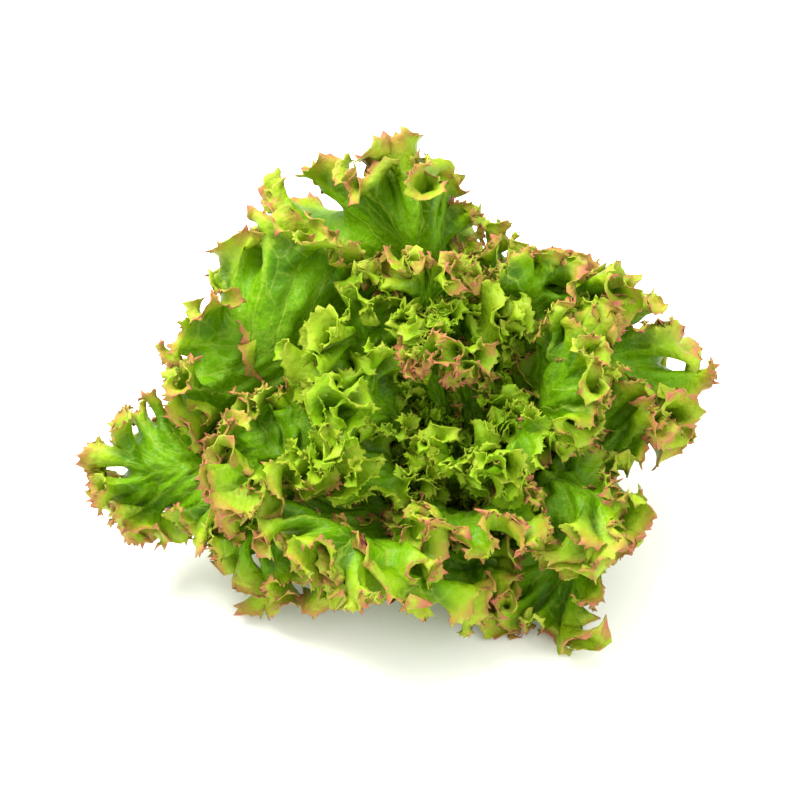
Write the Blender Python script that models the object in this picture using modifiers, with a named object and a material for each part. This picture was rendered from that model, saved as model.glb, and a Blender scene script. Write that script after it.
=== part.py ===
"""A head of coral lettuce, standing on its cut stem.

Every leaf lies in its own layer of one nest of curved shells round the stem, so that no leaf
crosses another. A layer number of 1 is the outermost shell, which arches over and lies down on
the surface, and 0 is the innermost, which stands upright. Azimuth is measured from +X, turning
towards +Y, and the head is seen from -Y.
"""

import math
from typing import NamedTuple

import bmesh
import bpy
import numpy as np

MM = 0.001
MERGE_DISTANCE = 0.01 * MM

# The cut stem: radius at the cut and at the top, and the height of the top.
STEM_CUT_RADIUS = 16.0 * MM
STEM_TOP_RADIUS = 3.0 * MM
STEM_HEIGHT = 27.0 * MM
STEM_CHAMFER = 0.6 * MM
STEM_SIDES = 20

# Where the leaves start, on the innermost layer and on the outermost one.
ROOT_RADIUS = (4.6 * MM, 17.6 * MM)
ROOT_HEIGHT = (27.0 * MM, 6.5 * MM)

# Headings above the horizontal, in degrees. The back of the head stands, the front arches over: each
# triple holds the value at the back, then what the share of the way to the front adds, and its square.
BACK_AZIMUTH = math.radians(88)
UPRIGHT = 94.0
OUTER_START = (66.0, -60.0, 38.0)
OUTER_TURN = (12.0, 50.0, 135.0)
INNER_TURN = -38.0
INNER_TURN_POWER = 0.6
TURN_LENGTH = 150.0 * MM
TURN_POWER = 1.25

# Slow swings of the starting heading round the head: waves, degrees and offset.
SWAY = ((3, 4.0, 1.0), (5, 3.0, 2.4))

# A blade's flat outline. The powers set where it is widest, how full it is and how its veins run.
ROOT_HALF_WIDTH = 8.5 * MM
WIDEST_POWER = 1.5
FULLNESS_POWER = 0.8
TIP_POWER = 0.92
VEIN_REACH = 0.84
VEIN_POWER = 1.25

# A blade wraps round the stem as on a radius of at least FLAT_RADIUS, and up to SIDE_LIMIT to a side.
FLAT_RADIUS = 22.0 * MM
SIDE_LIMIT = math.radians(36)
SIDE_POWER = 6

# Waves through the whole head: their lengths in mm, how steep they are, also on a leaf that folds over,
# and the seed of their directions.
WAVE_LENGTHS = (72, 64, 56, 48, 42)
WAVE_SLOPE = 0.55
FOLDED_WAVE_SLOPE = 0.12
WAVE_SEED = 40

# Pushes in the plane that faces the camera, in mm: where (across, up) and which way. Each one spreads
# over PUSH_RADIUS as a bell curve.
VIEW_ANGLE = math.radians(42)
PUSH_RADIUS = 30.0 * MM
PUSHES = (
    (-135, -25, -4, 3), (-135, 15, 0, 4), (-135, 55, 7, -4), (-135, 95, -4, -9), (-135, 135, 3, -2),
    (-95, -25, -3, 12), (-95, 15, -1, -4), (-95, 55, -6, -12), (-95, 95, -3, -10), (-95, 135, 3, 6),
    (-55, -25, -11, 8), (-55, 15, -9, 1), (-55, 55, -6, -3), (-55, 95, 2, 3), (-55, 135, 5, -4),
    (-15, -25, 1, -7), (-15, 15, -3, 3), (-15, 55, 1, 3), (-15, 95, 1, -2), (-15, 135, 10, -6),
    (25, -25, 12, 12), (25, 15, 4, 3), (25, 55, -4, 3), (25, 95, -8, -1), (25, 135, -4, -12),
    (65, -25, 3, -1), (65, 15, -7, -3), (65, 55, -2, 1), (65, 95, 5, 9), (65, 135, -5, -2),
    (105, -25, -10, 2), (105, 15, -2, 3), (105, 55, -4, 0),
)

# Waves and pushes fade in between these distances from the top of the stem, and pushes up or down
# also fade in with the height above the floor.
STILL_RADII = (30.0 * MM, 68.0 * MM)
LIFT_HEIGHT = 40.0 * MM

# Thickness, and the room kept between neighbours and above the surface.
BLADE_THICKNESS = 0.7 * MM
RIB_THICKNESS = 1.4 * MM
RIB_TAPER = 45.0 * MM
CLEARANCE = 1.8 * MM
MARGIN_ROOM = 8.0 * MM
LEAST_ROOM = 0.1 * MM
FREE_ROOM = 60.0 * MM
INWARD_SHARE = 0.45
FLOOR_SOFTNESS = 1.2 * MM
FLOOR_STEP = 25.0 * MM
FLOOR_GAP = 0.5 * MM

# The frill: folds along the margin, how far each bends the blade, and the teeth on it.
FOLD_LENGTH = 30.0 * MM
FOLD_BEND = math.radians(56)
FOLD_OVERHANG = 2.2 * MM
FOLD_DEPTH = 42.0 * MM
FOLD_DEPTH_SHARE = 1.1
FOLD_POWER = 1.1
FOLD_WANDER = 0.3
FOLD_SLANT = 1.3
FOLD_VARIETY = 0.3
TOOTH_LENGTH = 2.6 * MM
TOOTH_NOTCH = -0.3
COLUMNS_PER_FOLD = 4
ROWS = (0.0, 0.42, 0.74, 1.0)

# Where a leaf that folds over inwards starts to bend, as a share of its length, and how tightly.
BEND_START = 0.55
BEND_LENGTH = 35.0 * MM


class Leaf(NamedTuple):
    """One leaf: azimuth in degrees, layer, flat length and half width in mm, frill scale, inward bend."""

    name: str
    azimuth: float
    layer: float
    length: float
    half_width: float
    frill: float = 1.0
    bend: float = 0.0


LEAVES = (
    Leaf("leaf_front_left", 216, 1.00, 94, 42),
    Leaf("leaf_front_right", 303, 1.00, 82, 40),
    Leaf("leaf_right", 24, 1.00, 116, 46),
    Leaf("leaf_back", 114, 1.00, 163, 46, 1.04),
    Leaf("leaf_left", 186, 0.87, 153, 41, 0.92),
    Leaf("leaf_front", 259, 0.87, 80, 38),
    Leaf("leaf_right_front", 343, 0.87, 100, 40),
    Leaf("leaf_back_right", 64, 0.87, 128, 40),
    Leaf("leaf_mid_back_left", 153, 0.74, 148, 41, 0.95),
    Leaf("leaf_mid_front_left", 238, 0.74, 92, 38, 0.92),
    Leaf("leaf_mid_front_right", 322, 0.74, 98, 38, 0.92),
    Leaf("leaf_mid_right", 46, 0.74, 122, 40, 0.88),
    Leaf("leaf_mid_left", 196, 0.61, 112, 38, 0.92),
    Leaf("leaf_mid_front", 280, 0.61, 84, 34, 0.88),
    Leaf("leaf_mid_right_front", 2, 0.61, 104, 38, 0.88),
    Leaf("leaf_mid_back", 102, 0.61, 130, 38, 0.84),
    Leaf("leaf_inner_back_left", 150, 0.48, 108, 36, 0.80),
    Leaf("leaf_inner_front_left", 230, 0.48, 82, 31, 0.80),
    Leaf("leaf_inner_front_right", 318, 0.48, 78, 31, 0.76),
    Leaf("leaf_inner_back_right", 58, 0.48, 104, 34, 0.76),
    Leaf("leaf_inner_left", 190, 0.36, 86, 29, 0.72),
    Leaf("leaf_inner_front", 270, 0.36, 62, 25, 0.68),
    Leaf("leaf_inner_right", 350, 0.39, 70, 26, 0.68),
    Leaf("leaf_inner_back", 108, 0.36, 94, 32, 0.72),
    Leaf("leaf_folded", 35, 0.29, 102, 33, 0.74, 84),
)

# The layers above which a leaf counts as an outer one and as a middle one.
OUTER_LAYER = 0.8
MIDDLE_LAYER = 0.5

# The heart: small young leaves round the growing tip, from the first to the last in their spiral.
HEART_LEAVES = 6
HEART_AZIMUTH = 146.0
GOLDEN_ANGLE = 137.5
HEART_LAYERS = (0.15, 0.01)
HEART_LENGTHS = (40.0, 24.0)
HEART_HALF_WIDTHS = (17.0, 11.0)
HEART_FRILL = 0.6
HEART_LIFT = 2.0 * MM
HEART_RIB_THICKNESS = 0.8 * MM
HEART_CORE_RADIUS = 6.5 * MM
HEART_CORE_HEIGHT = 9.0 * MM
HEART_CORE_SIDES = 16
HEART_BASE = 27.5 * MM
HEART_SEED = 100

MATERIALS = {
    "cut_stem": ((0.80, 0.84, 0.55), 0.45),
    "outer_leaf": ((0.30, 0.50, 0.06), 0.40),
    "middle_leaf": ((0.34, 0.58, 0.06), 0.40),
    "inner_leaf": ((0.36, 0.64, 0.08), 0.40),
    "heart_leaf": ((0.42, 0.70, 0.12), 0.40),
}

GAUSS_POINTS, GAUSS_WEIGHTS = np.polynomial.legendre.leggauss(10)
GAUSS_POINTS = (GAUSS_POINTS + 1) / 2
GAUSS_WEIGHTS = GAUSS_WEIGHTS / 2


def smooth(x):
    """0 below 0, 1 above 1, and an even curve between them."""
    x = np.clip(x, 0, 1)
    return x * x * (3 - 2 * x)


def drift(t, draw, waves):
    """A slow random curve along the margin, from about -1 to 1."""
    total = 0
    for k in range(1, waves + 1):
        offset = draw.random()
        swing = draw.uniform(0.4, 1.0) / math.sqrt(k)
        total = total + swing * np.cos(2 * np.pi * (k * t + offset))
    return total / 1.8


def heading(s, layer, azimuth):
    """Angle above the horizontal of a shell's profile, at the length s from its root."""
    front = (1 - np.cos(azimuth - BACK_AZIMUTH)) / 2
    start = OUTER_START[0] + OUTER_START[1] * front + OUTER_START[2] * front**2
    turn = OUTER_TURN[0] + OUTER_TURN[1] * front + OUTER_TURN[2] * front**2
    start = UPRIGHT - (UPRIGHT - start) * layer
    turn = INNER_TURN + (turn - INNER_TURN) * layer**INNER_TURN_POWER
    for waves, swing, offset in SWAY:
        start = start + swing * layer * np.cos(waves * azimuth + offset)
    return np.radians(start - turn * (np.abs(s) / TURN_LENGTH) ** TURN_POWER)


def profile(s, layer, azimuth, bend=0.0, bend_start=0.0):
    """Radius and height at the length s along a shell's profile, summed up along its heading."""
    radius = ROOT_RADIUS[0] + (ROOT_RADIUS[1] - ROOT_RADIUS[0]) * layer
    height = ROOT_HEIGHT[0] + (ROOT_HEIGHT[1] - ROOT_HEIGHT[0]) * layer
    for point, weight in zip(GAUSS_POINTS, GAUSS_WEIGHTS):
        angle = heading(s * point, layer, azimuth)
        angle = angle + bend * smooth((s * point - bend_start) / BEND_LENGTH)
        radius = radius + s * weight * np.cos(angle)
        height = height + s * weight * np.sin(angle)
    return radius, height


def place(s, layer, azimuth, bend=0.0, bend_start=0.0, middle=0.0):
    """The point on a shell at the length s and that azimuth, or where a leaf folded over has it.

    The fold keeps each point's distance from the plane through the midrib, whose azimuth is middle.
    """
    radius, height = profile(s, layer, azimuth)
    x, y = radius * np.cos(azimuth), radius * np.sin(azimuth)
    if bend:
        folded, height = profile(s, layer, azimuth, bend, bend_start)
        x, y = x + (folded - radius) * math.cos(middle), y + (folded - radius) * math.sin(middle)
    return np.stack([x, y, height], -1)


def shell_frame(s, layer, azimuth, bend=0.0, bend_start=0.0, middle=0.0):
    """Unit vectors of a blade on a shell: up its profile, round the stem, and out of its outer side."""
    fold = bend, bend_start, middle
    step = 0.1 * MM
    up = place(s + step, layer, azimuth, *fold) - place(s - step, layer, azimuth, *fold)
    up /= np.linalg.norm(up, axis=-1, keepdims=True)
    turn = 0.1 * MM / FLAT_RADIUS
    round_stem = place(s, layer, azimuth + turn, *fold) - place(s, layer, azimuth - turn, *fold)
    round_stem -= (round_stem * up).sum(-1, keepdims=True) * up
    round_stem /= np.linalg.norm(round_stem, axis=-1, keepdims=True)
    return up, round_stem, np.cross(round_stem, up)


def half_breadth(share, half_width):
    """Half the blade's breadth where the margin is that share of its way from the root to the tip."""
    blade = half_width * np.sin(np.pi * share**WIDEST_POWER) ** FULLNESS_POWER
    return blade + ROOT_HALF_WIDTH * (1 - share) ** 2


def margin(t, length, half_width):
    """Flat outline (across, along): t is 0 and 1 at the root's two sides, and 0.5 at the tip."""
    side = np.where(t <= 0.5, 1.0, -1.0)
    share = 1 - np.abs(2 * t - 1)
    along = length * (1 - np.cos(np.pi * share**TIP_POWER)) / 2
    return side * half_breadth(share, half_width), along


def breadth_at(along, length, half_width):
    """Half the blade's breadth at that length, and 0 past its tip."""
    share = (np.arccos(np.clip(1 - 2 * along / length, -1, 1)) / np.pi) ** (1 / TIP_POWER)
    return np.where(along < length, half_breadth(share, half_width), 0.0)


def vein_foot(t, length):
    """How far along the midrib the vein to the margin point t leaves it."""
    return length * VEIN_REACH * (1 - np.abs(2 * t - 1)) ** VEIN_POWER


def spread(across, s, leaf):
    """The azimuth of a point that lies that far across a leaf's blade.

    A blade is narrowed evenly where it would reach past the side limit, where the next leaf of the same
    layer starts.
    """
    azimuth = math.radians(leaf.azimuth)
    wrap = np.hypot(profile(s, leaf.layer, azimuth + 0 * s)[0], FLAT_RADIUS)
    reach = breadth_at(s, leaf.length * MM, leaf.half_width * MM) / wrap
    return azimuth + across / wrap / (1 + (reach / SIDE_LIMIT) ** SIDE_POWER) ** (1 / SIDE_POWER)


def frill_strength(distance, half_width, frill):
    """1 on the margin, falling to 0 where the folds run out."""
    depth = min(FOLD_DEPTH * frill, FOLD_DEPTH_SHARE * half_width)
    return np.clip(1 - distance / depth, 0, 1) ** FOLD_POWER


def room(s, azimuth, layer, strength, others):
    """Free distance from a blade to its nearest neighbours on the outer and the inner side.

    A neighbour counts where it lies over the same place, and fades out past its own margin. The gap is
    shared by how strongly each of the two is folded there.
    """
    here = place(s, layer, azimuth)
    normal = shell_frame(s, layer, azimuth)[2]
    radius, _ = profile(s, layer, azimuth)
    outer = np.full(s.shape, FREE_ROOM)
    inner = np.maximum(INWARD_SHARE * radius, LEAST_ROOM)
    for other in others:
        if other.layer == layer:
            continue
        length, half_width = other.length * MM, other.half_width * MM
        turned = np.remainder(azimuth - math.radians(other.azimuth) + np.pi, 2 * np.pi) - np.pi
        across = np.abs(turned) * np.hypot(radius, FLAT_RADIUS)
        reach = breadth_at(s / (1 + 2 * MARGIN_ROOM / length), length, half_width)
        inside = smooth((2 * MARGIN_ROOM + reach - across) / MARGIN_ROOM) * (reach > 0)
        from_margin = np.maximum(np.minimum(reach - across, length - s), 0)
        theirs = frill_strength(from_margin, half_width, other.frill)
        share = (strength + 0.1) / (strength + theirs + 0.2)
        gap = np.abs(((place(s, other.layer, azimuth) - here) * normal).sum(-1))
        free = np.maximum((gap - RIB_THICKNESS - CLEARANCE) * share, LEAST_ROOM)
        free = free / np.maximum(inside, LEAST_ROOM / FREE_ROOM)
        if other.layer > layer:
            outer = np.minimum(outer, free)
        else:
            inner = np.minimum(inner, free)
    return outer, inner


def directions(points):
    """Unit vectors along the margin, outwards across the blade, and out of the blade."""
    along = np.gradient(points, axis=0)
    normal = np.cross(along, np.gradient(points, axis=1))
    tiny = 1e-12
    along /= np.linalg.norm(along, axis=-1, keepdims=True) + tiny
    normal /= np.linalg.norm(normal, axis=-1, keepdims=True) + tiny
    return along, np.cross(normal, along), normal


def ripple(points, bend, slide):
    """Turns each vein out of the blade by the angle bend, step by step, and slides it along the margin."""
    along, outward, normal = directions(points)
    step = np.linalg.norm(np.diff(points, axis=1), axis=-1)[..., None]
    angle = ((bend[:, 1:] + bend[:, :-1]) / 2)[..., None]
    outward = (outward[:, 1:] + outward[:, :-1]) / 2
    normal = (normal[:, 1:] + normal[:, :-1]) / 2
    moved = step * ((np.cos(angle) - 1) * outward + np.sin(angle) * normal)
    rippled = points.copy()
    rippled[:, 1:] += np.cumsum(moved, axis=1)
    return rippled + slide[..., None] * along


def still(points):
    """0 round the stem, where the leaves are held, and 1 further away."""
    near, far = STILL_RADII
    return smooth((np.linalg.norm(points - (0, 0, STEM_HEIGHT), axis=-1) - near) / (far - near))


def wavy(points, slope):
    """Waves through the whole head. Each moves things square to its own travel, so no two can meet."""
    draw = np.random.default_rng(WAVE_SEED)
    for length in WAVE_LENGTHS:
        travel, other = draw.normal(size=(2, 3))
        travel /= np.linalg.norm(travel)
        shift = np.cross(travel, other)
        shift /= np.linalg.norm(shift)
        size = slope * length * MM / (2 * np.pi) * still(points)
        swing = np.sin(2 * np.pi * (points @ travel / (length * MM) + draw.random()))
        points = points + (size * swing)[..., None] * shift
    return points


def pushed(points):
    """Each push moves what is near it across or up in the view, and no part of the head through another."""
    for across, up, move_across, move_up in np.array(PUSHES) * MM:
        height = points[..., 1] * math.sin(VIEW_ANGLE) + points[..., 2] * math.cos(VIEW_ANGLE)
        distance = np.hypot(points[..., 0] - across, height - up)
        share = np.exp(-((distance / PUSH_RADIUS) ** 2) / 2) * still(points)
        lift = move_up * share * math.cos(VIEW_ANGLE) * smooth(points[..., 2] / LIFT_HEIGHT)
        back = (move_up * share - lift * math.cos(VIEW_ANGLE)) / math.sin(VIEW_ANGLE)
        points = points + np.stack([move_across * share, back, lift], -1)
    return points


def settle(points, floor):
    """Lifts what would sink below the floor's height, as a leaf that lies down on what is under it."""
    height = points[..., 2] - floor
    points[..., 2] = floor + (height + np.hypot(height, 2 * FLOOR_SOFTNESS)) / 2
    return points


def folds_round(leaf):
    """How many folds the margin has, from its rough length."""
    perimeter = (2.1 * leaf.length + 0.8 * leaf.half_width) * MM
    return round(perimeter / (FOLD_LENGTH * leaf.frill))


def frilled(points, leaf, t, w, strength, seed):
    """The smooth blade with its folds and its teeth."""
    draw = np.random.default_rng(seed)
    wander = FOLD_WANDER * drift(t, draw, 5) + draw.random()
    phase = 2 * np.pi * (folds_round(leaf) * t + wander) + FOLD_SLANT * (1 - w) * drift(t, draw, 3)
    swell = strength * (1 + FOLD_VARIETY * drift(t, draw, 7))
    slide = FOLD_OVERHANG * leaf.frill * swell**2 * np.sin(2 * phase) * smooth(3 * w)
    rippled = ripple(points, FOLD_BEND * swell * np.cos(phase), slide)
    outward = directions(rippled)[1]
    tooth = np.where(np.arange(len(t)) % 2 == 0, 1.0, TOOTH_NOTCH)[:, None] * (w == 1)
    return rippled + (TOOTH_LENGTH * leaf.frill * tooth * strength)[..., None] * outward


def leaf_points(leaf, others, seed, lift):
    """The blade's middle surface: one vein for each column, with a point for each of ROWS on it.

    The frills are made on the smooth blade. Each point's move is then split into one within the shell,
    which it keeps, and one out of it, which stays inside the room between the neighbours.
    """
    length, half_width = leaf.length * MM, leaf.half_width * MM
    bend = math.radians(leaf.bend), BEND_START * length, math.radians(leaf.azimuth)
    columns = COLUMNS_PER_FOLD * folds_round(leaf)
    t, w = np.meshgrid(np.linspace(0, 1, columns + 1), ROWS, indexing="ij")
    edge_across, edge_along = margin(t, length, half_width)
    foot = vein_foot(t, length)
    s = foot + (edge_along - foot) * w + lift
    azimuth = spread(edge_across * w, s, leaf)
    points = place(s, leaf.layer, azimuth, *bend)
    from_margin = (1 - w) * np.hypot(edge_across, edge_along - foot)
    strength = frill_strength(from_margin, half_width, leaf.frill)
    strength = strength * smooth((1 - np.abs(2 * t - 1)) / 0.3)
    moved = frilled(points, leaf, t, w, strength, seed) - points
    up, round_stem, normal = shell_frame(s, leaf.layer, azimuth, *bend)
    wrap = np.hypot(profile(s, leaf.layer, azimuth)[0], FLAT_RADIUS)
    s = np.maximum(s + (moved * up).sum(-1), 0.2 * MM * w)
    azimuth = azimuth + (moved * round_stem).sum(-1) / wrap
    out = (moved * normal).sum(-1)
    outer, inner = room(s, azimuth, leaf.layer, strength, others)
    limit = np.where(out > 0, outer, inner)
    out = limit * np.tanh(out / limit)
    normal = shell_frame(s, leaf.layer, azimuth, *bend)[2]
    final = place(s, leaf.layer, azimuth, *bend) + out[..., None] * normal
    slope = FOLDED_WAVE_SLOPE if leaf.bend else WAVE_SLOPE
    return settle(pushed(wavy(final, slope)), FLOOR_GAP + FLOOR_STEP * (1 - leaf.layer))


def material(name):
    colour, roughness = MATERIALS[name]
    made = bpy.data.materials.get(name) or bpy.data.materials.new(name)
    made.use_nodes = True
    shader = made.node_tree.nodes["Principled BSDF"]
    shader.inputs["Base Color"].default_value = (*colour, 1.0)
    shader.inputs["Roughness"].default_value = roughness
    shader.inputs["Metallic"].default_value = 0.0
    return made


def add_object(name, mesh, collection, material_name):
    mesh.materials.clear()
    mesh.materials.append(material(material_name))
    made = bpy.data.objects.new(name, mesh)
    collection.objects.link(made)
    return made


def leaf_mesh(name, points):
    """A grid moved to the blade's points, zipped along the midrib and cut in triangles."""
    veins, steps = points.shape[:2]
    form = bmesh.new()
    bmesh.ops.create_grid(form, x_segments=steps - 1, y_segments=veins - 1, size=1.0)
    for vert in form.verts:
        vert.co = points[divmod(vert.index, steps)]
    bmesh.ops.remove_doubles(form, verts=form.verts, dist=MERGE_DISTANCE)
    bmesh.ops.triangulate(form, faces=form.faces, quad_method="SHORT_EDGE")
    bmesh.ops.recalc_face_normals(form, faces=form.faces)
    mesh = bpy.data.meshes.new(name)
    form.to_mesh(mesh)
    form.free()
    mesh.shade_smooth()
    return mesh


def add_thickness(blade, rib_thickness):
    """Solidify both ways from the middle surface, thicker round the root, where the rib is."""
    root = blade.data.vertices[0].co.copy()
    group = blade.vertex_groups.new(name="rib")
    for vert in blade.data.vertices:
        near = 1 - (vert.co - root).length / RIB_TAPER
        group.add([vert.index], max(BLADE_THICKNESS / rib_thickness, near), "REPLACE")
    shell = blade.modifiers.new("thickness", "SOLIDIFY")
    shell.thickness = rib_thickness
    shell.offset = 0
    shell.vertex_group = "rib"
    shell.use_even_offset = False
    shell.use_quality_normals = True


def add_leaf(collection, leaf, material_name, seed, rib_thickness=RIB_THICKNESS, lift=0.0):
    points = leaf_points(leaf, LEAVES + young_leaves(), seed, lift)
    blade = add_object(leaf.name, leaf_mesh(leaf.name, points), collection, material_name)
    add_thickness(blade, rib_thickness)


def add_leaves(collection):
    for number, leaf in enumerate(LEAVES):
        kind = "inner_leaf"
        if leaf.layer > OUTER_LAYER:
            kind = "outer_leaf"
        elif leaf.layer > MIDDLE_LAYER:
            kind = "middle_leaf"
        add_leaf(collection, leaf, kind, number)


def young_leaves():
    """The heart's leaves, in a golden-angle spiral that grows shorter and narrower inwards."""
    shares = np.linspace(0, 1, HEART_LEAVES)
    layers, lengths, half_widths = (
        first + (last - first) * shares for first, last in (HEART_LAYERS, HEART_LENGTHS, HEART_HALF_WIDTHS)
    )
    azimuths = HEART_AZIMUTH + GOLDEN_ANGLE * np.arange(HEART_LEAVES)
    rows = enumerate(zip(azimuths, layers, lengths, half_widths))
    return tuple(Leaf(f"young_{number}", *row, HEART_FRILL) for number, row in rows)


def heart_core():
    """The growing tip that the young leaves stand on."""
    form = bmesh.new()
    bmesh.ops.create_cone(
        form,
        cap_ends=True,
        segments=HEART_CORE_SIDES,
        radius1=HEART_CORE_RADIUS,
        radius2=HEART_CORE_RADIUS,
        depth=HEART_CORE_HEIGHT,
    )
    middle = HEART_BASE + HEART_CORE_HEIGHT / 2
    bmesh.ops.translate(form, vec=(0, 0, middle), verts=form.verts)
    mesh = bpy.data.meshes.new("heart")
    form.to_mesh(mesh)
    form.free()
    return mesh


def add_heart(collection):
    """Young leaves with their roots sunk in a slim core, joined in one body."""
    heart = add_object("heart", heart_core(), collection, "heart_leaf")
    young = bpy.data.collections.new("young_leaves")
    bpy.context.scene.collection.children.link(young)
    for number, leaf in enumerate(young_leaves()):
        add_leaf(young, leaf, "heart_leaf", HEART_SEED + number, HEART_RIB_THICKNESS, HEART_LIFT)
    union = heart.modifiers.new("grown_together", "BOOLEAN")
    union.operation = "UNION"
    union.operand_type = "COLLECTION"
    union.collection = young
    union.solver = "MANIFOLD"
    apply_modifiers(heart)
    for blade in list(young.objects):
        bpy.data.objects.remove(blade)
    bpy.data.collections.remove(young)


def apply_modifiers(made):
    bpy.context.view_layer.update()
    graph = bpy.context.evaluated_depsgraph_get()
    mesh = bpy.data.meshes.new_from_object(made.evaluated_get(graph))
    made.modifiers.clear()
    made.data = mesh


def add_stem(collection):
    """A turned profile: chamfered cut end, tapering up to where the heart grows."""
    outline = (
        (0.0, STEM_HEIGHT),
        (STEM_TOP_RADIUS, STEM_HEIGHT),
        (STEM_CUT_RADIUS, ROOT_HEIGHT[1]),
        (STEM_CUT_RADIUS, STEM_CHAMFER),
        (STEM_CUT_RADIUS - STEM_CHAMFER, 0.0),
        (0.0, 0.0),
    )
    points = [(x, 0, z) for x, z in outline]
    edges = [(i, i + 1) for i in range(len(outline) - 1)]
    mesh = bpy.data.meshes.new("stem")
    mesh.from_pydata(points, edges, [])
    stem = add_object("stem", mesh, collection, "cut_stem")
    turn = stem.modifiers.new("turn", "SCREW")
    turn.steps = STEM_SIDES
    turn.render_steps = STEM_SIDES
    turn.use_merge_vertices = True
    turn.merge_threshold = MERGE_DISTANCE


def main():
    for old in list(bpy.data.objects):
        bpy.data.objects.remove(old)
    collection = bpy.data.collections.new("coral_lettuce")
    bpy.context.scene.collection.children.link(collection)
    add_stem(collection)
    add_heart(collection)
    add_leaves(collection)


if __name__ == "__main__":
    main()
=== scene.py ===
"""Looks of a head of coral lettuce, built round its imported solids.

Each leaf of the part is worked out again as a fine mesh on the same curved shell, with the same large
folds, waves and pushes. Curls, crimps, lobes and teeth are then added along its margin, and blisters and
a rib on its blade. Lengths are in metres, +Z is up and the head is seen from -Y.
"""

import math
from typing import NamedTuple

import bpy
import numpy as np
from bpy.props import FloatProperty, FloatVectorProperty, PointerProperty
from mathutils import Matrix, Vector


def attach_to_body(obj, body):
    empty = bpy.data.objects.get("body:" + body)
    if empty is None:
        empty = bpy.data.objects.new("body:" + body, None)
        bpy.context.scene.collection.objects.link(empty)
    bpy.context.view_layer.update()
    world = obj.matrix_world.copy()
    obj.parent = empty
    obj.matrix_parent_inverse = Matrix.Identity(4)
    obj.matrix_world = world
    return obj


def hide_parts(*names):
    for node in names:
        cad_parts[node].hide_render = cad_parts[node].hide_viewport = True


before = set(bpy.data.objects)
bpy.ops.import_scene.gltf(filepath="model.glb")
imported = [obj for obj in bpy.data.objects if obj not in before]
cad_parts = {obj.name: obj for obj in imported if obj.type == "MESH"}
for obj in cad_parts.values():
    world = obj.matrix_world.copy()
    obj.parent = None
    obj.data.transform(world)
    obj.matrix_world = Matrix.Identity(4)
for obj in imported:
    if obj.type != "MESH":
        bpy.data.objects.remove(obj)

bl_info = {
    "name": "Coral lettuce",
    "version": (1, 0, 0),
    "blender": (4, 5, 0),
    "location": "3D View > Sidebar > Lettuce",
    "description": "Builds the leaves, the heart, the cut stem and the stage of a head of coral lettuce",
    "category": "Add Mesh",
}

MM = 0.001

# The head's form: the same shells, outlines, rooms and large folds as the part's solids.
STEM_HEIGHT = 27.0 * MM
STEM_CUT_RADIUS = 16.0 * MM
STEM_TOP_RADIUS = 3.0 * MM
ROOT_RADIUS = (4.6 * MM, 17.6 * MM)
ROOT_HEIGHT = (27.0 * MM, 6.5 * MM)
BACK_AZIMUTH = math.radians(88)
UPRIGHT = 94.0
OUTER_START = (66.0, -60.0, 38.0)
OUTER_TURN = (12.0, 50.0, 135.0)
INNER_TURN = -38.0
INNER_TURN_POWER = 0.6
TURN_LENGTH = 150.0 * MM
TURN_POWER = 1.25
SWAY = ((3, 4.0, 1.0), (5, 3.0, 2.4))
ROOT_HALF_WIDTH = 8.5 * MM
WIDEST_POWER = 1.5
FULLNESS_POWER = 0.8
TIP_POWER = 0.92
VEIN_REACH = 0.84
VEIN_POWER = 1.25
FLAT_RADIUS = 22.0 * MM
SIDE_LIMIT = math.radians(36)
SIDE_POWER = 6
RIB_ROOM = 1.4 * MM
CLEARANCE = 1.8 * MM
MARGIN_ROOM = 8.0 * MM
LEAST_ROOM = 0.1 * MM
FREE_ROOM = 60.0 * MM
INWARD_SHARE = 0.45
FLOOR_SOFTNESS = 1.2 * MM
FLOOR_STEP = 25.0 * MM
FLOOR_GAP = 0.5 * MM
BEND_START = 0.55
BEND_LENGTH = 35.0 * MM

# Waves through the whole head: their lengths in mm, how steep they are, also on a leaf that folds over,
# and the seed of their directions.
WAVE_LENGTHS = (72, 64, 56, 48, 42)
WAVE_SLOPE = 0.55
FOLDED_WAVE_SLOPE = 0.12
WAVE_SEED = 40

# Pushes in the plane that faces the camera, in mm: where (across, up) and which way. Each one spreads
# over PUSH_RADIUS as a bell curve.
VIEW_ANGLE = math.radians(42)
PUSH_RADIUS = 30.0 * MM
PUSHES = (
    (-135, -25, -4, 3), (-135, 15, 0, 4), (-135, 55, 7, -4), (-135, 95, -4, -9), (-135, 135, 3, -2),
    (-95, -25, -3, 12), (-95, 15, -1, -4), (-95, 55, -6, -12), (-95, 95, -3, -10), (-95, 135, 3, 6),
    (-55, -25, -11, 8), (-55, 15, -9, 1), (-55, 55, -6, -3), (-55, 95, 2, 3), (-55, 135, 5, -4),
    (-15, -25, 1, -7), (-15, 15, -3, 3), (-15, 55, 1, 3), (-15, 95, 1, -2), (-15, 135, 10, -6),
    (25, -25, 12, 12), (25, 15, 4, 3), (25, 55, -4, 3), (25, 95, -8, -1), (25, 135, -4, -12),
    (65, -25, 3, -1), (65, 15, -7, -3), (65, 55, -2, 1), (65, 95, 5, 9), (65, 135, -5, -2),
    (105, -25, -10, 2), (105, 15, -2, 3), (105, 55, -4, 0),
)

# Waves and pushes fade in between these distances from the top of the stem, and pushes up or down
# also fade in with the height above the floor.
STILL_RADII = (30.0 * MM, 68.0 * MM)
LIFT_HEIGHT = 40.0 * MM


class Folds(NamedTuple):
    """One size of fold along a margin: its length, bend in radians, slide and how far in it runs."""

    length: float
    bend: float
    overhang: float
    depth: float


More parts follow.
